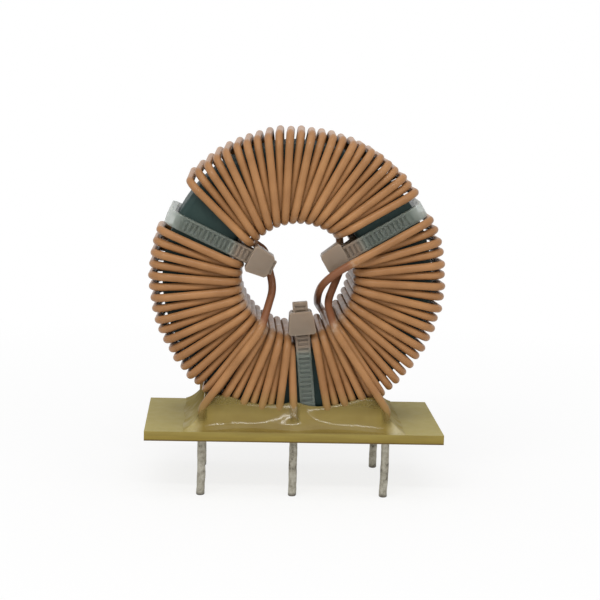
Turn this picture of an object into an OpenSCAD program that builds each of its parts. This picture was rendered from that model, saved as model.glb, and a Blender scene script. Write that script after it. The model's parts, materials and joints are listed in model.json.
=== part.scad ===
// Three-phase common mode choke: a coated ferrite ring with three single-wire coils, kept apart by
// cable ties and glued upright on a base board. The tinned wire ends below the board are its pins.
// The ring's axis lies along Y, the front is at -Y, and the origin is the middle of the board's underside.

/* [Base board] */
// Width of the board along the rows of pins
board_w = 50; // [44:0.5:70]
// Distance from a row of pins to the board's edge in front of it or behind it
board_edge = 3; // [2.5:0.1:9]
// Thickness of the board
board_t = 1.6; // [0.8:0.1:3.2]
// Gap between the board and the lowest turns
ring_gap = 0.2; // [0.1:0.1:2]

/* [Core] */
// Outer diameter of the coated core
core_od = 45; // [40:0.5:56]
// Inner diameter of the coated core
core_id = 24; // [22:0.5:30]
// Height of the core along its axis
core_h = 15; // [12:0.5:18]
// Rounding of the core's edges
core_edge_r = 1; // [0.4:0.1:2]

/* [Coils] */
// Diameter of the enamelled wire
wire_d = 1.3; // [1:0.05:1.5]
// Smallest gap between neighbouring turns in the bore
turn_gap = 0.04; // [0.02:0.01:0.3]
// Gap between the two layers of turns in the bore
layer_gap = 0.1; // [0.05:0.05:0.4]
// Gap between the wire and the core's coating
seat_gap = 0.05; // [0.03:0.01:0.2]
// How far the stiff wire stands off the core's outer face
coil_bow = 1.2; // [0.8:0.1:2]
// Bend radius of the wire at the outer corners
outer_bend_r = 2.6; // [2:0.1:4]
// Bend radius of the wire over the bore's edge
inner_bend_r = 1.3; // [1:0.1:2]
// Share of the free space that hand winding shifts a turn by
winding_slack = 0.6; // [0:0.1:0.8]

/* [Cable ties] */
// Angle of the right tie, from the +X side
tie_right_a = 30.7; // [26:0.1:36]
// Angle of the left tie
tie_left_a = 155; // [150:0.5:160]
// Angle of the bottom tie
tie_bottom_a = 276; // [272:0.5:280]
// Width of the strap
strap_w = 2.5; // [1.8:0.1:3.2]
// Thickness of the strap
strap_t = 1.1; // [0.8:0.05:1.4]
// How far the strap bows off the core's outer face
strap_bow = 0.5; // [0.3:0.1:1]
// Width of the head at its strap end
head_w = 4.6; // [3.8:0.1:5.4]
// Width of the head at its tail end
head_tip_w = 3.8; // [3:0.1:4.6]
// Length of the head along the tail
head_l = 3.8; // [3:0.1:4.6]
// Depth of the head along the core's axis
head_h = 3.3; // [2.8:0.1:3.8]
// Length of the bottom tie's cut tail beyond its head
tail_l = 1.5; // [0.5:0.1:2.4]
// Pitch of the strap's teeth
tooth_pitch = 0.8; // [0.6:0.05:1.2]
// Gap between a strap or head and its neighbours
tie_gap = 0.1; // [0.05:0.05:0.3]

/* [Leads and pins] */
// Pitch of the pins in a row
pin_pitch = 15.5; // [14:0.1:17]
// How far the two rows of pins stand outside the core's faces
pin_out = 1.5; // [1:0.1:2.5]
// How far the rear middle pin stands to the right of the front one
rear_shift = 1; // [0:0.1:2]
// Length of the pins below the board
pin_len = 10; // [4:0.5:20]
// Diameter of the stripped wire
bare_d = 1.1; // [0.8:0.05:1.2]
// Thickness of the tin coat
tin_t = 0.16; // [0.08:0.01:0.24]
// Gap between a lead and its hole in the board
hole_gap = 0.2; // [0.15:0.05:0.4]

/* [Glue] */
// How far the mound reaches on the board beyond the outer pins
glue_side = 3.5; // [2.5:0.1:5]
// Height of the mound at the ring's flanks
glue_flank_h = 5.6; // [4:0.1:6]
// Height of the mound in front of the ring
glue_front_h = 2.6; // [1.5:0.1:4]
// Radius of the hollow slope at the mound's flanks
glue_slope_r = 6; // [6:0.1:9]
// Gap between the mound and what stands in it
glue_gap = 0.05; // [0.03:0.01:0.2]

/* [Hidden] */
$fn = 48;

// Centre lines of the wire: at the rim, in the bore's two layers, and on the two faces
rim_r = core_od / 2 + coil_bow + wire_d / 2;
layer_step = wire_d + layer_gap;
low_r = core_id / 2 - seat_gap - wire_d / 2;
high_r = low_r - layer_step;
low_y = core_h / 2 + seat_gap + wire_d / 2;
high_y = low_y + layer_step;
lead_y = high_y + layer_step;
// A raised turn still stands this much prouder than its neighbours at the rim
rim_lift = 0.45;
// Free radius of the wound hole, and the height of the ring's axis above the board's underside
hole_r = high_r - wire_d / 2;
ring_z = board_t + ring_gap + rim_r + wire_d / 2;
// Place of the rows of pins, with the board and the glue round them
pin_y = core_h / 2 + pin_out;
board_d = 2 * (pin_y + board_edge);
glue_w = 2 * (pin_pitch + glue_side);

// Angles that keep the turns clear of a strap, at the rim and in each layer of the bore
tie_room = strap_w / 2 + tie_gap + wire_d / 2;
rim_room_a = asin(tie_room / rim_r);
low_room_a = asin(tie_room / low_r);
high_room_a = asin(tie_room / high_r);

// A coil runs from one tie to the next: its two tie angles, the spare angle at the rim beside each,
// the numbers of its first and last pass through the bore counted from the first front run, and a seed
top_coil = [tie_right_a, tie_left_a, 2.9, 11.2, -2, 0, 11];
left_coil = [tie_bottom_a, tie_left_a, 7.9, 1.3, -1, 0, 23];
right_coil = [tie_bottom_a, tie_right_a + 360, 3.4, 0.2, 0, -1, 37];
// The turns lie closer together where a coil starts than where it ends, by this share
rim_ease = 0.1;
// Deepest dent of a loosely pulled turn at the rim
rim_dent = 0.3;

function ring_pt(r, a, y) = [r * cos(a), y, ring_z + r * sin(a)];
function is_low(i) = i % 2 != 0;
function bore_r(i) = is_low(i) ? low_r : high_r;
function bore_y(i) = is_low(i) ? low_y : high_y;
function bore_bend_r(i) = is_low(i) ? inner_bend_r : inner_bend_r + layer_step;
function rim_y(i) = is_low(i) ? low_y : low_y + rim_lift;

// Passes that fit side by side in the bore's upper layer, made odd so that both layers end alike
function room_a(i) = is_low(i) ? low_room_a : high_room_a;
function coil_sign(coil) = sign(coil[1] - coil[0]);
function bore_span(coil) = abs(coil[1] - coil[0]) - room_a(coil[4]) - room_a(coil[5]);
function most_passes(coil) = 2 * bore_span(coil) * PI / 180 * high_r / (wire_d + turn_gap);
function most_turns(coil) = most_passes(coil) + coil[4] - coil[5] + 1;
turns = 2 * floor((min([for (c = [top_coil, left_coil, right_coil]) most_turns(c)]) - 1) / 2) + 1;

// Angle of pass i in the bore, and of front run i at the rim
function last_pass(coil) = turns - 1 + coil[5];
function even_a(coil, i) =
    let (a = coil[0] + coil_sign(coil) * room_a(coil[4]))
    let (b = coil[1] - coil_sign(coil) * room_a(last_pass(coil)))
    a + (b - a) * (i - coil[4]) / (last_pass(coil) - coil[4]);
function rim_first(coil) = coil[0] + coil_sign(coil) * (rim_room_a + coil[2]);
function rim_last(coil) = coil[1] - coil_sign(coil) * (rim_room_a + coil[3]);
function rim_pitch(coil) = (rim_last(coil) - rim_first(coil)) / (turns - 1);
function rim_free_a(coil) = abs(rim_pitch(coil)) * (1 - rim_ease) - wire_d / rim_r * 180 / PI;
function shifts(coil) = rands(-1, 1, turns, coil[6]);
function dents(coil) = rands(0, rim_dent, turns, coil[6] + 1);
function rim_shift_a(coil, i) = i < 1 || i > turns - 2 ? 0
    : shifts(coil)[i] * winding_slack * rim_free_a(coil) / 2;
function rim_a(coil, i) =
    let (t = i / (turns - 1))
    let (eased = t + rim_ease * t * (t - 1))
    rim_first(coil) + (rim_last(coil) - rim_first(coil)) * eased + rim_shift_a(coil, i);
// A slanted run of the low layer stops short of the upper layer's radius, so it has turned through less
slant_share = 1 - high_r * (rim_r - low_r) / (low_r * (rim_r - high_r));
function slant_a(coil, i) = is_low(i) && i > 0 && i < last_pass(coil)
    ? slant_share * (rim_a(coil, i) - even_a(coil, i)) : 0;
function bore_a(coil, i) = even_a(coil, i) + slant_a(coil, i);
function rim_back_a(coil, i) = i < 0 ? rim_a(coil, 0) - rim_pitch(coil) / 2
    : (rim_a(coil, i) + rim_a(coil, i + 1)) / 2;
function rim_pass_r(coil, i) = rim_r - dents(coil)[max(i, 0)];

// Stops of a wire: the corner where two straight runs would meet, and the bend radius there
function bore_front(coil, i) = [ring_pt(bore_r(i), bore_a(coil, i), -bore_y(i)), bore_bend_r(i)];
function bore_back(coil, i) = [ring_pt(bore_r(i), bore_a(coil, i), bore_y(i)), bore_bend_r(i)];
function rim_back(coil, i) = [ring_pt(rim_pass_r(coil, i), rim_back_a(coil, i), rim_y(i)), outer_bend_r];
function rim_front(coil, i) = [ring_pt(rim_pass_r(coil, i), rim_a(coil, i), -rim_y(i)), outer_bend_r];
function turn_stops(coil, i) =
    [bore_front(coil, i), bore_back(coil, i), rim_back(coil, i), rim_front(coil, i + 1)];
function wound(coil, from, to) = [for (i = [from : to]) each turn_stops(coil, i)];

// A lead in the hole: shares of the hole's radius, angles past a tie, shares of half the core's height
// and bend radii, chosen by hand along its sweep
front_left_sweep = [[1.07, -11.65, -0.5, 1.4], [0.76, -13, -0.47, 2], [0.47, 50, -0.7, 5]];
front_right_sweep = [[0.69, -68.7, -0.87, 5], [0.86, -16, -0.4, 2.5]];
rear_right_sweep = [[0.5, -16, -1.56, 2.6], [0.38, -66, -0.75, 2.6], [0.75, -88, 0.5, 2.6]];
function sweep(stations, tie_a) =
    [for (s = stations) [ring_pt(s[0] * hole_r, tie_a + s[1], s[2] * core_h / 2), s[3]]];
// Where the leads leave the hole, as angles, and how far past the hole's edge they bend over it
left_edge_a = 233;
right_edge_a = -51.5;
rear_edge_a = -57;
edge_out = 0.8;
edge_bend_r = 4;
function edge_stop(a, side) = [ring_pt(hole_r + edge_out, a, side * lead_y), edge_bend_r];
// A lead's foot stands proud of its pin row above the board, then turns straight down
foot_h = 3.6;
foot_out = 0.6;
rear_foot_out = 1;
foot_bend_r = 2.5;
plumb_h = 1.2;
plumb_bend_r = plumb_h;
// The enamel ends inside the board
strip_z = board_t * 0.4;
function pin_x(column, side) = column * pin_pitch + (column == 0 && side > 0 ? rear_shift : 0);
function pin_pt(column, side, z) = [pin_x(column, side), side * pin_y, z];
function foot_stop(column, side) =
    [pin_pt(column, side, board_t + foot_h) + [0, side < 0 ? -foot_out : rear_foot_out, 0], foot_bend_r];
function pin_stops(column, side) =
    [[pin_pt(column, side, board_t + plumb_h), plumb_bend_r], [pin_pt(column, side, strip_z), 0]];
function reversed(list) = [for (i = [len(list) - 1 : -1 : 0]) list[i]];
function lead_in(column, side) = reversed(concat([foot_stop(column, side)], pin_stops(column, side)));
function lead_out(column, side) = concat([foot_stop(column, side)], pin_stops(column, side));

// Axial reach of a tie's head, and of the wire that crosses over it
slot_gap = 0.15;
head_wall = 1.2;
strap_y = core_h / 2 + seat_gap;
head_front_y = strap_y + strap_t + slot_gap + head_wall;
over_y = head_front_y + tie_gap + wire_d / 2;

// The three wires from end to end: the lead at the start, the turns and the lead at the end
last = turns - 1;
top_start = concat(
    lead_in(1, -1),
    [edge_stop(right_edge_a, -1)],
    sweep(front_right_sweep, tie_right_a),
    [[ring_pt(high_r, bore_a(top_coil, top_coil[4]), core_h * 0.1), inner_bend_r]],
    [bore_back(top_coil, top_coil[4]), rim_back(top_coil, top_coil[4]), rim_front(top_coil, 0)]
);
top_route = concat(
    top_start,
    wound(top_coil, 0, last - 1),
    [bore_front(top_coil, last)],
    sweep(front_left_sweep, tie_left_a),
    [edge_stop(left_edge_a, -1)],
    lead_out(-1, -1)
);
left_start = reversed(pin_stops(0, -1));
// Behind the ring the left coil's end turns straight down over its own turns
left_bend = [ring_pt(high_r, bore_a(left_coil, last), lead_y + 2 * layer_gap), inner_bend_r + layer_step];
left_route = concat(
    left_start,
    wound(left_coil, -1, last - 1),
    [bore_front(left_coil, last), left_bend],
    lead_out(-1, 1)
);
// The right coil's first rim pass starts behind the bottom strap, its last front run crosses the right tie
start_y = strap_y + strap_t + tie_gap + wire_d;
first_rim_stop = [ring_pt(rim_r, rim_back_a(right_coil, -1), start_y), inner_bend_r];
right_start = concat(reversed(pin_stops(0, 1)), [first_rim_stop, rim_front(right_coil, 0)]);
right_route = concat(
    right_start,
    wound(right_coil, 0, last - 1),
    [[ring_pt(low_r + seat_gap, tie_right_a + 352, -over_y - rim_lift), edge_bend_r]],
    sweep(rear_right_sweep, tie_right_a),
    [edge_stop(rear_edge_a, 1)],
    lead_out(1, 1)
);
// Runs in whose middle a wire is parted: where its leads join the turns, and in the bore at each third
function thirds(start) = [for (s = [1, 2]) len(start) + 4 * floor(last * s / 3)];
top_parts = concat([0, len(top_start) - 4], thirds(top_start), [len(top_start) + 4 * last - 1]);
left_parts = concat([0, len(left_start)], thirds(left_start), [len(left_start) + 4 * turns]);
right_parts = concat([0, len(right_start) - 2], thirds(right_start), [len(right_start) + 4 * last - 1]);

// Bends are this much fatter than straight runs, as drawn wire swells, and runs reach this far into them
bend_swell = 0.02;
bend_lap = 0.1;
function unit(v) = v / norm(v);
function turn_angle(a, b, c) = acos(max(-1, min(1, unit(b - a) * unit(c - b))));
function bend_cut(route, i) = i == 0 || i == len(route) - 1 ? 0
    : route[i][1] * tan(turn_angle(route[i - 1][0], route[i][0], route[i + 1][0]) / 2);

function run_start(route, i) =
    route[i][0] + unit(route[i + 1][0] - route[i][0]) * (bend_cut(route, i) - (i == 0 ? 0 : bend_lap));
function run_end(route, i) =
    let (lap = i == len(route) - 2 ? 0 : bend_lap)
    route[i + 1][0] - unit(route[i + 1][0] - route[i][0]) * (bend_cut(route, i + 1) - lap);

module rod(a, b, d) {
    u = unit(b - a);
    translate(a)
        rotate([0, acos(u[2]), atan2(u[1], u[0])])
            cylinder(h = norm(b - a), d = d);
}

module wire_bend(route, i, d) {
    a = route[i - 1][0];
    b = route[i][0];
    c = route[i + 1][0];
    u = unit(b - a);
    v = unit(c - b);
    n = unit(v - (u * v) * u);
    w = cross(u, n);
    o = b - u * bend_cut(route, i) + n * route[i][1];
    multmatrix([
        [-n[0], u[0], w[0], o[0]],
        [-n[1], u[1], w[1], o[1]],
        [-n[2], u[2], w[2], o[2]],
        [0, 0, 0, 1]
    ])
        rotate_extrude(angle = turn_angle(a, b, c))
            translate([route[i][1], 0])
                circle(d = d);
}

// A wire from the middle of one run, or its own start, to the middle of another, or its own end
module wire(route, d, from, to) {
    for (i = [from : to]) {
        a = run_start(route, i);
        b = run_end(route, i);
        rod(i == from && i > 0 ? (a + b) / 2 : a, i == to && i < len(route) - 2 ? (a + b) / 2 : b, d);
    }
    for (i = [from + 1 : to]) wire_bend(route, i, d + bend_swell);
}

// Tie profile: straight strips and quarter bends that hug the core with the strap's bow at the rim
function whole_um(v) = floor(v * 1000) / 1000;
strap_bow_r = core_od / 2 + strap_bow;
strap_bend_r = core_edge_r + strap_bow + 0.1;
bore_bend = 0.8 * core_edge_r;
strap_bore_r = whole_um(sqrt(pow(core_id / 2, 2) - pow(strap_w / 2, 2)) - seat_gap);
head_back_y = head_front_y - head_h;
head_out_r = whole_um(high_r * cos(high_room_a) - wire_d / 2 - tie_gap);
head_in_r = head_out_r - head_l;
head_chamfer = 0.35;
// Teeth: grooves across the strap's outward face
tooth_depth = 0.25;
tooth_w = strap_w - 0.8;
tooth_count = floor((strap_bow_r - strap_bend_r - head_in_r + tail_l) / tooth_pitch) - 1;
// The pawl dips this far into a groove
pawl_dip = 0.1;
// The strap's root leaves the bore and joins the head from behind
root_y = -0.3 * core_h;
root_lap = 0.3;

module quarter(x, y, r, sx, sy) {
    translate([x, y])
        intersection() {
            difference() {
                circle(r = r + strap_t);
                circle(r = r);
            }
            translate([sx < 0 ? -2 * (r + strap_t) : 0, sy < 0 ? -2 * (r + strap_t) : 0])
                square(2 * (r + strap_t));
        }
}

module strip(x0, y0, x1, y1) {
    translate([x0, y0]) square([x1 - x0, y1 - y0]);
}

module strap_profile(tail_r) {
    bend_x = strap_bow_r - strap_bend_r;
    bend_y = strap_y - strap_bend_r;
    back_x = strap_bore_r + bore_bend;
    back_y = strap_y - bore_bend;
    strip(tail_r, -strap_y - strap_t, bend_x, -strap_y);
    quarter(bend_x, -bend_y, strap_bend_r, 1, -1);
    strip(strap_bow_r, -bend_y, strap_bow_r + strap_t, bend_y);
    quarter(bend_x, bend_y, strap_bend_r, 1, 1);
    strip(back_x, strap_y, bend_x, strap_y + strap_t);
    quarter(back_x, back_y, bore_bend, -1, 1);
    strip(strap_bore_r - strap_t, root_y, strap_bore_r, back_y);
    polygon([
        [strap_bore_r - strap_t, root_y + root_lap],
        [strap_bore_r, root_y + root_lap],
        [strap_bore_r, root_y - strap_t],
        [head_out_r, -head_back_y - root_lap],
        [head_in_r + head_l / 2, -head_back_y - root_lap]
    ]);
}

module head_block() {
    c = head_chamfer;
    h = head_w / 2;
    t = head_tip_w / 2;
    rotate([90, 0, 0])
        translate([0, 0, head_back_y])
            linear_extrude(head_h)
                polygon([
                    [head_out_r, h - c], [head_out_r - c, h], [head_in_r + c, t], [head_in_r, t - c],
                    [head_in_r, c - t], [head_in_r + c, -t], [head_out_r - c, -h], [head_out_r, c - h]
                ]);
}

// The side ties' tails are cut closer to their heads, by these shares
left_tail = 0.4;
right_tail = 0.05;

module tie(a, tail) {
    tail_r = head_in_r - tail_l * tail;
    slot_y = strap_y + strap_t + slot_gap;
    translate([0, 0, ring_z])
        rotate([0, -a, 0])
            color([0.59, 0.60, 0.56]) {
                difference() {
                    linear_extrude(strap_w, center = true) strap_profile(tail_r);
                    for (i = [1 : tooth_count])
                        translate([head_in_r - tail_l + i * tooth_pitch, -strap_y - strap_t, 0])
                            cube([tooth_pitch / 2, 2 * tooth_depth, tooth_w], center = true);
                }
                difference() {
                    head_block();
                    translate([head_in_r - 1, -slot_y, -strap_w / 2 - slot_gap])
                        cube([head_l + 2, strap_t + 2 * slot_gap, strap_w + 2 * slot_gap]);
                }
                linear_extrude(tooth_w, center = true)
                    polygon([
                        [head_in_r + 0.2 * head_l, -slot_y - root_lap],
                        [head_in_r + 0.6 * head_l, -slot_y - root_lap],
                        [head_in_r + 0.3 * head_l, slot_gap + pawl_dip - slot_y]
                    ]);
            }
}

module tie_left() {
    tie(tie_left_a, left_tail);
}

module tie_right() {
    tie(tie_right_a, right_tail);
}

module tie_bottom() {
    tie(tie_bottom_a, 1);
}

module core() {
    r = core_edge_r;
    w = (core_od - core_id) / 2;
    translate([0, 0, ring_z])
        rotate([90, 0, 0])
            color([0.17, 0.27, 0.26])
                rotate_extrude()
                    translate([core_id / 2, -core_h / 2]) {
                        strip(r, 0, w - r, core_h);
                        strip(0, r, w, core_h - r);
                        for (x = [r, w - r], y = [r, core_h - r])
                            translate([x, y]) circle(r = r);
                    }
}

module winding(route, parts, k) {
    color([0.69, 0.49, 0.31])
        wire(route, wire_d, parts[k], k < len(parts) - 1 ? parts[k + 1] : len(route) - 2);
}

module top_lead_1() {
    winding(top_route, top_parts, 0);
}

module top_turns_1() {
    winding(top_route, top_parts, 1);
}

module top_turns_2() {
    winding(top_route, top_parts, 2);
}

module top_turns_3() {
    winding(top_route, top_parts, 3);
}

module top_lead_2() {
    winding(top_route, top_parts, 4);
}

module left_lead_1() {
    winding(left_route, left_parts, 0);
}

module left_turns_1() {
    winding(left_route, left_parts, 1);
}

module left_turns_2() {
    winding(left_route, left_parts, 2);
}

module left_turns_3() {
    winding(left_route, left_parts, 3);
}

module left_lead_2() {
    winding(left_route, left_parts, 4);
}

module right_lead_1() {
    winding(right_route, right_parts, 0);
}

module right_turns_1() {
    winding(right_route, right_parts, 1);
}

module right_turns_2() {
    winding(right_route, right_parts, 2);
}

module right_turns_3() {
    winding(right_route, right_parts, 3);
}

module right_lead_2() {
    winding(right_route, right_parts, 4);
}

module base_board() {
    color([0.65, 0.62, 0.39])
        difference() {
            translate([-board_w / 2, -board_d / 2, 0]) cube([board_w, board_d, board_t]);
            for (column = [-1 : 1], side = [-1, 1])
                translate(pin_pt(column, side, -1)) cylinder(h = board_t + 2, d = wire_d + 2 * hole_gap);
        }
}

// The mound's edge is this thick, its front starts this far behind the board's edge
glue_edge = 0.3;
glue_inset = 0.15;
glue_front_l = 2;
glue_y = board_d / 2 - glue_inset;
glue_rise = glue_front_h - glue_edge;
glue_front_r = (pow(glue_front_l, 2) + pow(glue_rise, 2)) / (2 * glue_rise);
// The glue reaches up to the wound ring, under its rim and in front of its faces
ring_out_r = rim_r + wire_d / 2 + glue_gap;
lip_y = low_y + rim_lift + wire_d / 2 + bend_swell + glue_gap;
// Extra room round a lead, which bends inside the corner of its straight bores, and the bores' lap there
lead_room = 0.2;
bore_lap = 0.4;

module glue_width() {
    out = sqrt(pow(glue_slope_r, 2) - pow(glue_flank_h - glue_edge, 2));
    difference() {
        strip(-glue_w / 2, 0, glue_w / 2, glue_flank_h);
        for (s = [-1, 1])
            translate([s * (glue_w / 2 + out), glue_flank_h]) circle(r = glue_slope_r);
    }
}

module glue_body() {
    translate([0, lip_y, board_t])
        rotate([90, 0, 0])
            linear_extrude(2 * lip_y)
                difference() {
                    glue_width();
                    translate([0, ring_z - board_t]) circle(r = ring_out_r);
                }
}

module glue_lip(side) {
    difference() {
        translate([0, side < 0 ? -lip_y : glue_y, board_t])
            rotate([90, 0, 0])
                linear_extrude(glue_y - lip_y)
                    intersection() {
                        glue_width();
                        strip(-glue_w, 0, glue_w, glue_front_h);
                    }
        translate([-board_w, side * glue_y, board_t + glue_edge + glue_front_r])
            rotate([0, 90, 0]) cylinder(h = 2 * board_w, r = glue_front_r);
    }
}

module lead_bore(a, b) {
    lap = unit(b - a) * bore_lap;
    rod(a - lap, b + lap, wire_d + 2 * lead_room);
}

module foot_bores(column, side, far) {
    plumb = pin_pt(column, side, board_t + plumb_h);
    foot = foot_stop(column, side)[0];
    lead_bore(pin_pt(column, side, 0), plumb);
    lead_bore(plumb, foot);
    lead_bore(foot, far[0]);
}

module middle_bores() {
    front = pin_pt(0, -1, board_t + plumb_h);
    rear = first_rim_stop[0];
    lead_bore(pin_pt(0, -1, 0), front);
    lead_bore(front, bore_front(left_coil, left_coil[4])[0]);
    wire(concat(reversed(pin_stops(0, 1)), [first_rim_stop]), wire_d + 2 * lead_room, 0, 1);
    lead_bore(rear, rear - [0, outer_bend_r, 0]);
}

module glue_mound() {
    color([0.55, 0.45, 0.22])
        difference() {
            union() {
                glue_body();
                glue_lip(-1);
                glue_lip(1);
            }
            foot_bores(-1, -1, edge_stop(left_edge_a, -1));
            foot_bores(1, -1, edge_stop(right_edge_a, -1));
            foot_bores(-1, 1, left_bend);
            foot_bores(1, 1, edge_stop(rear_edge_a, 1));
            middle_bores();
        }
}

// The stripped end of a wire: its tin coat starts just below the board and is rounded off at the tip
tin_drop = 0.1;
tin_round = 0.2;

module tinned_end(column, side) {
    bare = bare_d / 2;
    r = bare + tin_t;
    coat_h = pin_len - tin_drop;
    top_h = pin_len + strip_z;
    translate(pin_pt(column, side, -pin_len))
        color([0.59, 0.57, 0.53])
            rotate_extrude()
                polygon([
                    [0, 0], [r - tin_round, 0], [r, tin_round], [r, coat_h],
                    [bare, coat_h], [bare, top_h], [0, top_h]
                ]);
}

module end_front_left() {
    tinned_end(-1, -1);
}

module end_front_middle() {
    tinned_end(0, -1);
}

module end_front_right() {
    tinned_end(1, -1);
}

module end_rear_left() {
    tinned_end(-1, 1);
}

module end_rear_middle() {
    tinned_end(0, 1);
}

module end_rear_right() {
    tinned_end(1, 1);
}

core();
top_lead_1();
top_turns_1();
top_turns_2();
top_turns_3();
top_lead_2();
left_lead_1();
left_turns_1();
left_turns_2();
left_turns_3();
left_lead_2();
right_lead_1();
right_turns_1();
right_turns_2();
right_turns_3();
right_lead_2();
tie_left();
tie_right();
tie_bottom();
base_board();
glue_mound();
end_front_left();
end_front_middle();
end_front_right();
end_rear_left();
end_rear_middle();
end_rear_right();
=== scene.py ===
import json
import math
import bpy
from mathutils import Matrix, Vector, noise


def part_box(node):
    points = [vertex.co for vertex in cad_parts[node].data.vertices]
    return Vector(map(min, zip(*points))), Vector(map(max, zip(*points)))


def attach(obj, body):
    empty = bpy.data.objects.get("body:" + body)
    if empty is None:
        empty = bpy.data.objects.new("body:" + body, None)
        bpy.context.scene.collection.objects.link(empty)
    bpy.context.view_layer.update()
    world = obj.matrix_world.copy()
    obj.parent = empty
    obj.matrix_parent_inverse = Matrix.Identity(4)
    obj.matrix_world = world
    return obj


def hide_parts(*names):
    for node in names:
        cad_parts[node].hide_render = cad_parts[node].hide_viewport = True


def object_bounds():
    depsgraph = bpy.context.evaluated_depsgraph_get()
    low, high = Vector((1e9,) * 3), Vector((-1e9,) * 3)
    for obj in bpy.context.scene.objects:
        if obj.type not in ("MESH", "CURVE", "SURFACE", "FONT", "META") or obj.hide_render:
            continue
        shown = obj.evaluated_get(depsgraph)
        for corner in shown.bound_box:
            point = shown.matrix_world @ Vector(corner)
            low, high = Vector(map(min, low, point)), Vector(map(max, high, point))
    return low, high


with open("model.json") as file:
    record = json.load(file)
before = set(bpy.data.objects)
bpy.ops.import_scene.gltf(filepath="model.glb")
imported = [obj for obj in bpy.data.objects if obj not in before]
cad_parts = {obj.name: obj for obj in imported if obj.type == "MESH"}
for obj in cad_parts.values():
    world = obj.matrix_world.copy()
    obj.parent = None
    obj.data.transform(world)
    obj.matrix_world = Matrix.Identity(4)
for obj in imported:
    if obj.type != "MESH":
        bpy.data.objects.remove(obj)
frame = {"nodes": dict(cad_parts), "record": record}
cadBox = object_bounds()
nodes = frame["nodes"]
bpy.ops.object.select_all(action="DESELECT")
print("frame loaded:", len(nodes), "nodes")

mm = 0.001
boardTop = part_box("base_board")[1].z
coreLow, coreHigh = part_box("core")
ringZ = (coreLow.z + coreHigh.z) / 2


def paint(r, g, b):  # a screen colour, 0 to 255, as the linear one that shaders take
    def lin(c):
        c = c / 255
        return c / 12.92 if c <= 0.04045 else ((c + 0.055) / 1.055) ** 2.4
    return (lin(r), lin(g), lin(b), 1.0)


class Finish:  # one material and short ways to add and join its nodes
    def __init__(self, name):
        self.mat = bpy.data.materials.new(name)
        self.mat.use_nodes = True
        self.tree = self.mat.node_tree
        self.shader = self.tree.nodes["Principled BSDF"]
        self.coords = self.add("ShaderNodeTexCoord").outputs["Object"]

    def add(self, kind, **values):
        node = self.tree.nodes.new(kind)
        for key, value in values.items():
            setattr(node, key, value)
        return node

    def join(self, out, into):
        self.tree.links.new(out, into)

    def feed(self, value, socket):  # a link or a plain value
        if isinstance(value, bpy.types.NodeSocket):
            self.join(value, socket)
        else:
            socket.default_value = value

    def setShader(self, **values):  # socket names with spaces written as underscores
        for key, value in values.items():
            self.feed(value, self.shader.inputs[key.replace("_", " ")])

    def noise(self, scale, detail=3.0, rough=0.55, stretch=(1, 1, 1), warp=0.0):
        turn = self.add("ShaderNodeMapping")
        turn.inputs["Scale"].default_value = stretch
        self.join(self.coords, turn.inputs["Vector"])
        tex = self.add("ShaderNodeTexNoise")
        tex.inputs["Scale"].default_value = scale
        tex.inputs["Detail"].default_value = detail
        tex.inputs["Roughness"].default_value = rough
        tex.inputs["Distortion"].default_value = warp
        self.join(turn.outputs["Vector"], tex.inputs["Vector"])
        return tex.outputs["Fac"]

    def along(self, axis):  # one coordinate in the row frame
        split = self.add("ShaderNodeSeparateXYZ")
        self.join(self.coords, split.inputs["Vector"])
        return split.outputs[axis]

    def radial(self):  # distance from the ring's axis
        flat = self.add("ShaderNodeVectorMath", operation="MULTIPLY_ADD")
        self.join(self.coords, flat.inputs[0])
        flat.inputs[1].default_value = (1, 0, 1)
        flat.inputs[2].default_value = (0, 0, -ringZ)
        size = self.add("ShaderNodeVectorMath", operation="LENGTH")
        self.join(flat.outputs["Vector"], size.inputs[0])
        return size.outputs["Value"]

    def math(self, operation, a, b=0.0):
        node = self.add("ShaderNodeMath", operation=operation)
        self.feed(a, node.inputs[0])
        self.feed(b, node.inputs[1])
        return node.outputs[0]

    def ramp(self, fac, stops):
        ramp = self.add("ShaderNodeValToRGB")
        bar = ramp.color_ramp
        while len(bar.elements) < len(stops):
            bar.elements.new(0.5)
        for spot, (place, colour) in zip(bar.elements, stops):
            spot.position = place
            spot.color = paint(*colour)
        self.join(fac, ramp.inputs["Fac"])
        return ramp.outputs["Color"]

    def spread(self, fac, low, high, fromLow=0.3, fromHigh=0.7):
        node = self.add("ShaderNodeMapRange")
        node.inputs["From Min"].default_value = fromLow
        node.inputs["From Max"].default_value = fromHigh
        node.inputs["To Min"].default_value = low
        node.inputs["To Max"].default_value = high
        self.join(fac, node.inputs["Value"])
        return node.outputs["Result"]

    def mix(self, fac, a, b, blend="MIX"):
        node = self.add("ShaderNodeMix", data_type="RGBA", blend_type=blend)
        self.feed(fac, node.inputs[0])
        self.feed(a, node.inputs[6])
        self.feed(b, node.inputs[7])
        return node.outputs[2]

    def bump(self, height, strength, distance):
        node = self.add("ShaderNodeBump")
        node.inputs["Strength"].default_value = strength
        node.inputs["Distance"].default_value = distance
        self.join(height, node.inputs["Height"])
        self.join(node.outputs["Normal"], self.shader.inputs["Normal"])


# enamelled copper: tan, with painted shade making it darker and redder in the hole, wet with glue at the foot,
# and whitish at the bore's edge with varnish haze and a painted sheen
wireLook = {
    "light": (166, 120, 77), "deep": (146, 103, 64), "hole": (120, 76, 52),
    "wet": (136, 114, 62), "hazeAndSheen": (196, 184, 166),
    "holeFrom": 8.4 * mm, "holeTo": 9.6 * mm, "holeShare": 0.9,
    "wetFrom": 4.6 * mm, "wetTo": 8.5 * mm, "wetShare": 0.75,
    "hazeFrom": 9.3 * mm, "hazeTo": 10.8 * mm, "hazeAndSheenShare": 0.6,
    "roughness": (0.38, 0.5), "coat": 0.2,
}


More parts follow.
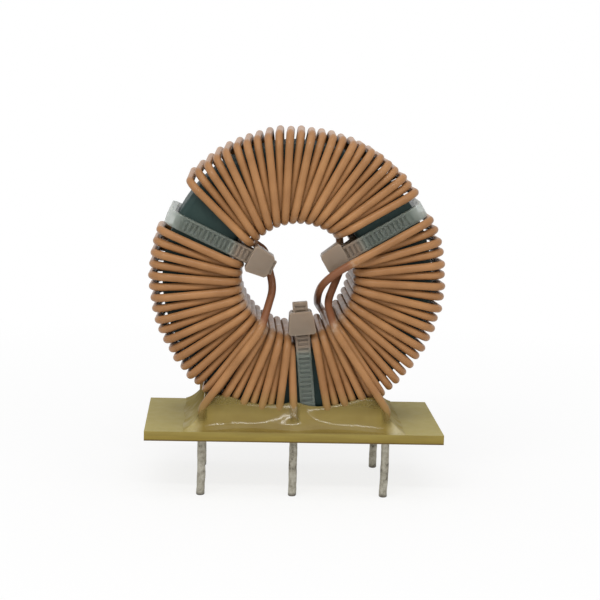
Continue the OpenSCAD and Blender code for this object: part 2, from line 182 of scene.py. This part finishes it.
def makeWireFinish():
    w = wireLook
    f = Finish("enamelled_copper")
    tone = f.ramp(f.noise(170, detail=3), [(0.32, w["deep"]), (0.66, w["light"])])
    reach = f.radial()
    # painted shade: the wire turns a darker red inside the hole, where the bore lies in shadow
    shadeInHole = f.spread(reach, w["holeShare"], 0.0, w["holeFrom"], w["holeTo"])
    tone = f.mix(shadeInHole, tone, paint(*w["hole"]))
    atFoot = f.spread(f.along("Z"), w["wetShare"], 0.0, w["wetFrom"], w["wetTo"])
    tone = f.mix(atFoot, tone, paint(*w["wet"]))
    # whitish haze at the bore's edge: partly the varnish's own colour, partly a painted sheen
    boreEdge = f.math(
        "MULTIPLY", f.spread(reach, 1.0, 0.0, w["hazeFrom"], w["hazeTo"]),
        f.spread(reach, 0.0, 1.0, w["holeFrom"], w["holeTo"]))
    clotsAndSheen = f.spread(f.noise(420, detail=4, rough=0.7), 0.0, w["hazeAndSheenShare"], 0.46, 0.66)
    tone = f.mix(f.math("MULTIPLY", boreEdge, clotsAndSheen), tone, paint(*w["hazeAndSheen"]))
    grain = f.noise(2600, detail=2)
    f.bump(grain, 0.06, 0.00005)
    f.setShader(
        Base_Color=tone, Roughness=f.spread(grain, *w["roughness"]), Specular_IOR_Level=0.16,
        Coat_Weight=w["coat"], Coat_Roughness=0.12, Coat_IOR=1.35)
    return f.mat


# dark green coating sprayed on the ferrite
coatLook = {"base": (36, 54, 52), "worn": (47, 64, 60)}


def makeCoatFinish():
    f = Finish("green_core_coating")
    tone = f.ramp(f.noise(220, detail=4), [(0.35, coatLook["base"]), (0.75, coatLook["worn"])])
    grain = f.noise(1400, detail=3)
    f.bump(grain, 0.25, 0.00008)
    f.setShader(Base_Color=tone, Roughness=f.spread(grain, 0.45, 0.65), Specular_IOR_Level=0.2)
    return f.mat


# natural nylon: pinkish grey where it is thick, see-through and greener over the dark core, with a painted
# highlight making it pale where it bends
nylonLook = {
    "head": (137, 120, 103), "strap": (124, 133, 124), "bendHighlight": (176, 185, 177), "cloud": (120, 117, 108),
    "inner": 8.0 * mm, "outer": 24.0 * mm, "cover": 0.55, "roughness": (0.3, 0.42),
}


def makeNylonFinish():
    n = nylonLook
    f = Finish("natural_nylon")
    place = f.spread(f.radial(), 0.0, 1.0, n["inner"], n["outer"])
    # painted highlight: the strap turns pale where it bends over the ring's rim
    tone = f.ramp(place, [(0.2, n["head"]), (0.3, n["strap"]), (0.84, n["strap"]), (0.95, n["bendHighlight"])])
    tone = f.mix(f.spread(f.noise(240, detail=3), 0.0, 0.28), tone, paint(*n["cloud"]))
    cover = f.spread(place, 1.0, n["cover"], 0.27, 0.34)  # solid head, thin strap
    grain = f.noise(1800, detail=2)
    f.bump(grain, 0.1, 0.00006)
    f.setShader(
        Base_Color=tone, Roughness=f.spread(grain, *n["roughness"]), Specular_IOR_Level=0.25, Alpha=cover,
        Subsurface_Weight=0.75, Subsurface_Scale=0.0015, Subsurface_Radius=(1.0, 0.95, 0.85))
    return f.mat


# bare glass-epoxy sheet: olive yellow with the glass cloth just showing, browner at its sawn edges
sheetLook = {
    "face": (170, 158, 100), "faceDark": (164, 152, 95), "cloth": (176, 165, 108), "weave": 0.55,
    "edge": (142, 123, 56), "edgeHigh": (150, 134, 72), "edgeDark": (86, 68, 36),
}


def makeSheetFinish():
    s = sheetLook
    f = Finish("glass_epoxy_sheet")
    waves = []
    for axis in ("X", "Y"):
        wave = f.add("ShaderNodeTexWave", wave_type="BANDS", bands_direction=axis)
        wave.inputs["Scale"].default_value = 1 / (s["weave"] * mm) * 0.05
        wave.inputs["Distortion"].default_value = 1.5
        wave.inputs["Detail"].default_value = 1
        f.join(f.coords, wave.inputs["Vector"])
        waves.append(wave.outputs["Fac"])
    weave = f.math("MULTIPLY", waves[0], waves[1])
    face = f.ramp(f.noise(150, detail=4), [(0.3, s["faceDark"]), (0.7, s["face"])])
    face = f.mix(f.spread(weave, 0.0, 0.14, 0.0, 1.0), face, paint(*s["cloth"]))
    up = f.spread(f.along("Z"), 0.0, 1.0, 0.0, boardTop)
    rim = f.ramp(up, [(0.04, s["edgeDark"]), (0.2, s["edge"]), (0.95, s["edgeHigh"])])
    streaks = f.spread(f.noise(90, detail=4, stretch=(1, 1, 14)), 0.0, 0.35)
    rim = f.mix(streaks, rim, paint(*s["edgeDark"]))
    facing = f.add("ShaderNodeSeparateXYZ")
    f.join(f.add("ShaderNodeNewGeometry").outputs["Normal"], facing.inputs["Vector"])
    tone = f.mix(f.math("ABSOLUTE", facing.outputs["Z"]), rim, face)
    f.bump(weave, 0.1, 0.00005)
    f.setShader(Base_Color=tone, Roughness=f.spread(f.noise(700, detail=3), 0.5, 0.66), Specular_IOR_Level=0.15)
    return f.mat


# cast epoxy: olive amber, clearer where it thins out on the turns and leads, paler on its side skirts, and
# milky there with a haze that is partly the glue's own and partly a painted reflection
glueLook = {
    "thin": (138, 121, 66), "deep": (123, 104, 52), "skirt": (164, 150, 97), "milkyAndReflection": (196, 190, 168),
    "clearFrom": 4.2 * mm, "clearTo": 6.2 * mm, "flankFrom": 13.0 * mm, "flankTo": 15.2 * mm,
    "skirtFrom": 15.2 * mm, "skirtTo": 17.0 * mm, "skirtShare": 0.95, "milkAndReflectionShare": 0.55,
    "pitch": 15.5 * mm, "leadFrom": 0.4 * mm, "leadTo": 1.1 * mm, "leadShare": 0.6,
    "rowFrom": 9.0 * mm, "rowTo": 9.5 * mm, "showFrom": 2.6 * mm, "showTo": 3.8 * mm,
}


def makeGlueFinish():
    g = glueLook
    f = Finish("amber_epoxy")
    width = f.math("ABSOLUTE", f.along("X"))
    height = f.along("Z")
    tone = f.ramp(f.noise(140, detail=3, warp=0.4), [(0.3, g["deep"]), (0.7, g["thin"])])
    skirt = f.spread(width, 0.0, g["skirtShare"], g["skirtFrom"], g["skirtTo"])
    tone = f.mix(skirt, tone, paint(*g["skirt"]))
    # milky haze on the side skirts: partly the glue's own, partly a painted reflection in place of the flank's
    # specular, which is turned off below
    milkAndReflection = f.spread(f.noise(330, detail=4, rough=0.65, stretch=(1, 1, 0.4)), 0.0, g["milkAndReflectionShare"], 0.42, 0.7)
    tone = f.mix(f.math("MULTIPLY", skirt, milkAndReflection), tone, paint(*g["milkyAndReflection"]))
    f.bump(f.noise(420, detail=2), 0.2, 0.0002)
    flank = f.spread(width, 0.0, 1.0, g["flankFrom"], g["flankTo"])
    cover = f.spread(height, 0.97, 0.6, g["clearFrom"], g["clearTo"])
    cover = f.math("MAXIMUM", cover, f.math("MULTIPLY", flank, 0.92))
    beside = f.math("MINIMUM", width, f.math("ABSOLUTE", f.math("SUBTRACT", width, g["pitch"])))
    near = f.spread(beside, g["leadShare"], 0.0, g["leadFrom"], g["leadTo"])
    front = f.spread(f.math("ABSOLUTE", f.along("Y")), 0.0, 1.0, g["rowFrom"], g["rowTo"])
    high = f.spread(height, 0.0, 1.0, g["showFrom"], g["showTo"])
    clear = f.math("MULTIPLY", f.math("MULTIPLY", near, front), high)  # over the leads' lower ends
    f.setShader(
        Base_Color=tone, Roughness=0.12, Specular_IOR_Level=f.spread(flank, 0.2, 0.0, 0.0, 1.0),
        Alpha=f.math("MULTIPLY", cover, f.math("SUBTRACT", 1.0, clear)))
    return f.mat


# dull solder with darker specks and a dark cut tip
tinLook = {
    "bright": (176, 172, 158), "dull": (140, 135, 121), "speck": (78, 72, 63),
    "tip": (74, 68, 60), "tipFrom": -9.85 * mm, "tipTo": -9.3 * mm, "tipShare": 0.85,
}


def makeTinFinish():
    t = tinLook
    f = Finish("dull_solder")
    cloud = f.noise(900, detail=5, rough=0.65)
    tone = f.ramp(cloud, [(0.32, t["speck"]), (0.43, t["dull"]), (0.66, t["bright"])])
    atTip = f.spread(f.along("Z"), t["tipShare"], 0.0, t["tipFrom"], t["tipTo"])
    tone = f.mix(atTip, tone, paint(*t["tip"]))
    f.bump(cloud, 0.35, 0.0001)
    f.setShader(Base_Color=tone, Roughness=f.spread(cloud, 0.55, 0.34), Metallic=0.6)
    return f.mat


finishes = {
    "core_coat": makeCoatFinish(),
    "enamelled_wire": makeWireFinish(),
    "nylon": makeNylonFinish(),
    "laminate": makeSheetFinish(),
    "epoxy": makeGlueFinish(),
    "tin": makeTinFinish(),
}
for sub in frame["record"]["subparts"]:
    mesh = nodes[sub["node"]].data
    mesh.materials.clear()
    mesh.materials.append(finishes[sub["material_slot"]])
print("finishes set on", len(nodes), "nodes")


def deselect():
    bpy.ops.object.select_all(action="DESELECT")


def workOn(piece):
    deselect()
    piece.select_set(True)
    bpy.context.view_layer.objects.active = piece


def pickEdges(piece, wanted):  # leaves edit mode on, with only the wanted edges picked
    bpy.ops.object.mode_set(mode="EDIT")
    bpy.ops.mesh.select_mode(type="EDGE")
    bpy.ops.mesh.select_all(action="DESELECT")
    bpy.ops.object.mode_set(mode="OBJECT")
    verts = piece.data.vertices
    for edge in piece.data.edges:
        edge.select = wanted(*(verts[i].co for i in edge.vertices))
    bpy.ops.object.mode_set(mode="EDIT")


def settle(piece, slotName, *stoodFor):  # finish, body and the CAD nodes that the piece stands for
    piece.data.materials.clear()
    piece.data.materials.append(finishes[slotName])
    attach(piece, "root")
    if stoodFor:
        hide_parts(*stoodFor)


# pins by name, and the middles of their CAD solids
endNodes = [n for n in nodes if n.startswith("end_")]
pinSpots = {n: sum(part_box(n), Vector()) / 2 for n in endNodes}

# glue, in mm: a film drawn up the ring's flanks and the leads, and hollow between them
glueShape = {
    "halfWidth": 19.0, "halfDepth": 11.98, "edge": 0.15, "flankHeight": 5.6, "flankRadius": 6.0,
    "frontHeight": 3.0, "frontRise": 0.012, "frontSpan": 12.0, "frontRun": 2.7, "climb": 1.6,
    "hollow": 1.7, "bowl": 1.5, "embed": 0.3, "sway": 0.35, "shoreIn": 0.4, "waver": 0.5,
    "leadOut": 0.3, "leadPull": 0.5, "leadReach": 1.1, "leadSkirt": 0.6, "skirtReach": 3.2, "pullRun": 1.6,
    "ringRadius": 25.0, "faceDepth": 8.8, "leastUnder": 0.1, "least": 0.05, "across": 220, "along": 140,
}


def bell(away, reach):
    return math.exp(-(away / reach) ** 2 / 2)


def filmHeight(x, y):
    g = glueShape
    out = math.sqrt(g["flankRadius"] ** 2 - (g["flankHeight"] - g["edge"]) ** 2)
    reach = g["halfWidth"] + out - abs(x)
    flank = g["flankHeight"]
    if reach < g["flankRadius"]:
        flank -= math.sqrt(g["flankRadius"] ** 2 - reach ** 2)
    pull = 0.0
    for spot in pinSpots.values():
        pinX, pinY = spot.x / mm, spot.y / mm
        away = math.hypot(x - pinX, y - pinY - math.copysign(g["leadOut"], pinY))
        pull += g["leadPull"] * bell(away, g["leadReach"]) + g["leadSkirt"] * bell(away, g["skirtReach"])
    inward = g["halfDepth"] - abs(y)
    sway = g["sway"] * noise.noise(Vector((x * 0.13, y * 0.13, 2.0)))
    bowl = math.sin(math.pi * min(abs(x) / (pinSpots["end_front_right"].x / mm), 1.0)) ** 2
    slope = min(inward / g["frontRun"], 1.0) ** (g["hollow"] + g["bowl"] * bowl)
    front = g["frontHeight"] + g["frontRise"] * min(abs(x), g["frontSpan"]) ** 2
    film = g["edge"] + (front + sway - g["edge"]) * slope + pull * min(inward / g["pullRun"], 1.0) ** 1.5
    film += max(inward - g["frontRun"], 0.0) * g["climb"]
    height = min(flank, film)
    if abs(y) < g["faceDepth"] and abs(x) < g["ringRadius"]:  # under the ring
        under = ringZ / mm - boardTop / mm - math.sqrt(g["ringRadius"] ** 2 - x * x)
        height = min(height, max(under + g["embed"], g["leastUnder"]))
    return max(height, g["least"])


def makeGlue():
    g = glueShape
    deselect()
    bpy.ops.mesh.primitive_grid_add(x_subdivisions=g["across"], y_subdivisions=g["along"], size=1)
    glue = bpy.context.object
    glue.name = "glue_film"
    for v in glue.data.vertices:
        side = v.co.x * 2  # -1 to 1 across the board
        y = v.co.y * 2 * g["halfDepth"]
        shore = g["halfWidth"] - g["shoreIn"] + g["waver"] * noise.noise(Vector((side, y * 0.16, 7.0)))
        v.co = (side * shore * mm, y * mm, boardTop + filmHeight(side * g["halfWidth"], y) * mm)
    bpy.ops.object.mode_set(mode="EDIT")
    bpy.ops.mesh.select_mode(type="EDGE")
    bpy.ops.mesh.select_all(action="DESELECT")
    bpy.ops.mesh.select_non_manifold()
    bpy.ops.mesh.extrude_region_move()
    bpy.ops.object.mode_set(mode="OBJECT")
    for v in glue.data.vertices:
        if v.select:
            v.co.z = boardTop
    bpy.ops.object.mode_set(mode="EDIT")
    bpy.ops.mesh.edge_face_add()
    bpy.ops.mesh.select_all(action="SELECT")
    bpy.ops.mesh.normals_make_consistent(inside=False)
    bpy.ops.object.mode_set(mode="OBJECT")
    bpy.ops.object.shade_smooth_by_angle(angle=math.radians(60))
    settle(glue, "epoxy", "glue_mound")
    print("glue film:", len(glue.data.polygons), "faces")


makeGlue()

# pins, in mm: wire ends dipped in solder, lumpy and a little crooked, with a rounded tip
pinShape = {
    "radius": 0.7, "top": 0.6, "tip": -10.0, "sides": 28, "rings": 48, "round": 0.2,
    "lump": 0.06, "fineShare": 0.4, "crook": 0.25,
}


def makePins():
    p = pinShape
    deselect()
    bpy.ops.mesh.primitive_cylinder_add(
        vertices=p["sides"], radius=p["radius"] * mm, depth=(p["top"] - p["tip"]) * mm,
        location=(0, 0, (p["top"] + p["tip"]) / 2 * mm))
    pattern = bpy.context.object
    bpy.ops.object.transform_apply(location=True, rotation=False, scale=False)
    pickEdges(pattern, lambda a, b: abs(a.z - b.z) > mm)
    bpy.ops.mesh.subdivide(number_cuts=p["rings"])
    bpy.ops.object.mode_set(mode="OBJECT")
    low = p["tip"] * mm + 1e-6
    pickEdges(pattern, lambda a, b: a.z < low and b.z < low)
    bpy.ops.mesh.bevel(offset=p["round"] * mm, segments=4)
    bpy.ops.object.mode_set(mode="OBJECT")
    for count, (name, middle) in enumerate(pinSpots.items()):
        pin = pattern.copy()
        pin.data = pattern.data.copy()
        pin.name = "pin_" + name[4:]
        bpy.context.scene.collection.objects.link(pin)
        shift = Vector((count * 11.3, count * 4.7, 0))
        for v in pin.data.vertices:
            x, y, z = (c / mm for c in v.co)
            down = min(max(z / p["tip"], 0.0), 1.0)  # 0 at the board, 1 at the tip
            lump = noise.noise(Vector((x * 0.9, y * 0.9, z * 0.5)) + shift)
            fine = noise.noise(Vector((x, y, z * 0.6)) * 2.6 + shift)
            swell = 1 + p["lump"] * (lump + p["fineShare"] * fine) / p["radius"] * min(down * 30, 1.0)
            bow = p["crook"] * down * noise.noise(Vector((0.3, 0.7, z * 0.16)) + shift)
            v.co = Vector((middle.x + v.co.x * swell + bow * mm, middle.y + v.co.y * swell, v.co.z))
        workOn(pin)
        bpy.ops.object.shade_smooth_by_angle(angle=math.radians(40))
        settle(pin, "tin", name)
    bpy.data.objects.remove(pattern)
    print("pins:", len(pinSpots))


makePins()

# ties: the strap's long edges are rounded and the other moulded edges softened, in mm
tieShape = {"edge": 0.1, "steps": 2, "halfWidth": 1.25, "near": 0.02, "round": 0.26, "roundSteps": 3}
tieNames = ("tie_left", "tie_right", "tie_bottom")


def softenTie(name):
    t = tieShape
    tie = nodes[name].copy()
    tie.data = nodes[name].data.copy()
    tie.name = name + "_moulded"
    tie.parent = None
    for key in list(tie.keys()):
        del tie[key]
    bpy.context.scene.collection.objects.link(tie)
    workOn(tie)
    bpy.ops.mesh.customdata_custom_splitnormals_clear()
    bpy.ops.object.mode_set(mode="EDIT")
    bpy.ops.mesh.select_all(action="SELECT")
    bpy.ops.mesh.remove_doubles(threshold=1e-6)
    bpy.ops.mesh.dissolve_limited(angle_limit=math.radians(1.5))
    bpy.ops.object.mode_set(mode="OBJECT")
    spread = sum((v.co for v in tie.data.vertices), Vector()) / len(tie.data.vertices)
    out = Vector((spread.x, 0, spread.z - ringZ)).normalized()
    across = Vector((-out.z, 0, out.x))
    middle = Vector((0, 0, ringZ))

    def onSide(p):  # on either of the strap's long sides
        return abs(abs((p - middle).dot(across)) / mm - t["halfWidth"]) < t["near"]

    pickEdges(tie, lambda a, b: onSide(a) and onSide(b) and abs((a - b).dot(across)) < 0.1 * mm)
    bpy.ops.mesh.bevel(offset=t["round"] * mm, segments=t["roundSteps"], clamp_overlap=True)
    bpy.ops.object.mode_set(mode="OBJECT")
    soft = tie.modifiers.new("soft_edges", "BEVEL")
    soft.width = t["edge"] * mm
    soft.segments = t["steps"]
    soft.limit_method = "ANGLE"
    soft.angle_limit = math.radians(35)
    bpy.ops.object.modifier_apply(modifier=soft.name)
    bpy.ops.object.shade_smooth_by_angle(angle=math.radians(40))
    settle(tie, "nylon", name)


for tieName in tieNames:
    softenTie(tieName)
print("ties softened")

# the right coil's end: one easy sweep over the right tie, back through the hole and down to its pin, in mm
sweepShape = {
    "radius": 0.65, "rounds": 6, "steps": 12,
    "comesFrom": (21.67, -8.65, 37.27), "aim": (10.47, -11.2, 31.18), "straight": (1.5, 3.5),
    "path": (
        (11.2, -11.05, 31.6), (9.0, -11.35, 30.4), (6.6, -11.5, 29.05), (4.9, -11.4, 27.75),
        (3.75, -9.3, 26.1), (3.55, -5.2, 24.0), (3.8, -0.6, 22.2), (4.2, 4.2, 20.9), (4.5, 8.4, 20.1),
        (5.3, 11.35, 18.7), (7.3, 10.95, 15.9), (10.4, 10.6, 11.9), (14.0, 10.2, 7.2),
        (15.3, 10.0, 5.4), (15.5, 9.5, 4.0), (15.5, 9.0, 2.7), (15.5, 9.0, 1.8), (15.5, 9.0, 0.64)),
}


def makeSweep():
    s = sweepShape
    lead = [v.co for v in nodes["right_lead_2"].data.vertices]
    ahead = (Vector(s["aim"]) - Vector(s["comesFrom"])).normalized()
    near = min(p.dot(ahead) for p in lead)
    cap = [p for p in lead if p.dot(ahead) < near + 0.01 * mm]  # where it meets the last turn
    low, high = (Vector(pick(p[i] for p in cap) for i in range(3)) for pick in (min, max))
    start = (low + high) / 2
    spots = [start] + [start + ahead * d * mm for d in s["straight"]] + [Vector(p) * mm for p in s["path"]]
    deselect()
    bpy.ops.curve.primitive_nurbs_path_add(location=(0, 0, 0))
    wire = bpy.context.object
    wire.name = "right_lead_sweep"
    curve = wire.data
    curve.splines.clear()
    line = curve.splines.new("NURBS")
    line.points.add(len(spots) - 1)
    for point, spot in zip(line.points, spots):
        point.co = (*spot, 1)
    line.order_u = 4
    line.use_endpoint_u = True
    line.resolution_u = s["steps"]
    curve.dimensions = "3D"
    curve.bevel_depth = s["radius"] * mm
    curve.bevel_resolution = s["rounds"]
    curve.use_fill_caps = True
    bpy.ops.object.convert(target="MESH")
    wire = bpy.context.object
    bpy.ops.object.mode_set(mode="EDIT")
    bpy.ops.mesh.select_all(action="SELECT")
    bpy.ops.mesh.remove_doubles(threshold=1e-7)
    bpy.ops.mesh.normals_make_consistent(inside=False)
    bpy.ops.object.mode_set(mode="OBJECT")
    bpy.ops.object.shade_smooth_by_angle(angle=math.radians(50))
    settle(wire, "enamelled_wire", "right_lead_2")
    print("right lead swept:", len(wire.data.polygons), "faces")


makeSweep()

# white floor and backdrop; the floor keeps a soft shadow near the object and is plain white farther off
stageLook = {"size": 3.0, "glowNear": 0.8, "glowFar": 1.0, "near": 0.03, "far": 0.16, "floor": (246, 246, 246)}


def makeStage():
    s = stageLook
    deselect()
    bpy.ops.mesh.primitive_plane_add(size=s["size"], location=(0, 0, cadBox[0][2]))
    floor = bpy.context.object
    floor.name = "floor"
    f = Finish("white_floor")
    f.setShader(Base_Color=paint(*s["floor"]), Roughness=0.9, Specular_IOR_Level=0.0)
    path = f.add("ShaderNodeLightPath")
    seen = f.math("MAXIMUM", path.outputs["Is Camera Ray"], path.outputs["Is Glossy Ray"])
    seen = f.math("MAXIMUM", seen, path.outputs["Is Transmission Ray"])
    away = f.add("ShaderNodeVectorMath", operation="LENGTH")
    f.join(f.coords, away.inputs[0])
    share = f.spread(away.outputs["Value"], s["glowNear"], s["glowFar"], s["near"], s["far"])
    mixer = f.add("ShaderNodeMixShader")
    f.join(f.math("MULTIPLY", seen, share), mixer.inputs[0])
    f.join(f.shader.outputs[0], mixer.inputs[1])
    f.join(f.add("ShaderNodeEmission").outputs[0], mixer.inputs[2])
    f.join(mixer.outputs[0], f.tree.nodes["Material Output"].inputs["Surface"])
    floor.data.materials.append(f.mat)


makeStage()

# plain soft studio light: one broad lamp above, one at each side in front, and a narrow one for the glints
lampLook = [
    {"name": "overhead_lamp", "spot": (0.0, -0.12, 0.62), "size": (0.6, 0.6), "watts": 1.3},
    {"name": "left_lamp", "spot": (-0.5, -0.5, 0.32), "size": (0.4, 0.4), "watts": 0.8},
    {"name": "right_lamp", "spot": (0.55, -0.45, 0.26), "size": (0.4, 0.4), "watts": 0.65},
    {"name": "strip_lamp", "spot": (-0.08, -0.42, 0.46), "size": (0.5, 0.025), "watts": 1.4},
]
roomLook = {"fill": 0.44, "aim": (0, 0, 0.024)}


def makeLights():
    aim = Vector(roomLook["aim"])
    for look in lampLook:
        lamp = bpy.data.lights.new(look["name"], "AREA")
        lamp.shape = "RECTANGLE"
        lamp.size, lamp.size_y = look["size"]
        lamp.energy = look["watts"]
        obj = bpy.data.objects.new(look["name"], lamp)
        obj.location = look["spot"]
        obj.rotation_euler = (Vector(look["spot"]) - aim).to_track_quat("Z", "Y").to_euler()
        bpy.context.scene.collection.objects.link(obj)
    world = bpy.data.worlds.new("white_room")
    bpy.context.scene.world = world
    world.use_nodes = True
    tree = world.node_tree
    back = tree.nodes["Background"]
    back.inputs["Color"].default_value = (1, 1, 1, 1)
    path = tree.nodes.new("ShaderNodeLightPath")
    seen = path.outputs["Is Camera Ray"]
    for ray in ("Is Glossy Ray", "Is Transmission Ray"):
        either = tree.nodes.new("ShaderNodeMath")
        either.operation = "MAXIMUM"
        tree.links.new(seen, either.inputs[0])
        tree.links.new(path.outputs[ray], either.inputs[1])
        seen = either.outputs[0]
    level = tree.nodes.new("ShaderNodeMapRange")
    level.inputs["To Min"].default_value = roomLook["fill"]
    level.inputs["To Max"].default_value = 1.0
    tree.links.new(seen, level.inputs["Value"])
    tree.links.new(level.outputs["Result"], back.inputs["Strength"])


makeLights()

# the photograph's view: angles in degrees, focal length in pixels of a 600 pixel frame, place in mm
cameraLook = {
    "turn": -3.2215, "rise": 9.5778, "roll": 1.7084, "spot": (-13.197, -249.893, 64.334),
    "focal": 1476.57, "pixels": 600, "sensor": 36.0,
}


def makeCamera():
    turn, rise, roll = (math.radians(cameraLook[k]) for k in ("turn", "rise", "roll"))
    back = Vector((math.sin(turn) * math.cos(rise), -math.cos(turn) * math.cos(rise), math.sin(rise)))
    right = Vector((math.cos(turn), math.sin(turn), 0))
    up = back.cross(right)
    side = right * math.cos(roll) + up * math.sin(roll)
    top = up * math.cos(roll) - right * math.sin(roll)
    data = bpy.data.cameras.new("photo_camera")
    data.sensor_width = cameraLook["sensor"]
    data.sensor_fit = "HORIZONTAL"
    data.lens = cameraLook["focal"] / cameraLook["pixels"] * cameraLook["sensor"]
    data.clip_start = 0.01
    camera = bpy.data.objects.new("photo_camera", data)
    spot = Vector(cameraLook["spot"]) * mm
    camera.matrix_world = Matrix.Translation(spot) @ Matrix((side, top, back)).transposed().to_4x4()
    bpy.context.scene.collection.objects.link(camera)
    bpy.context.scene.camera = camera


makeCamera()
bpy.context.scene.view_settings.view_transform = "Standard"
print("stage, lamps and camera set")
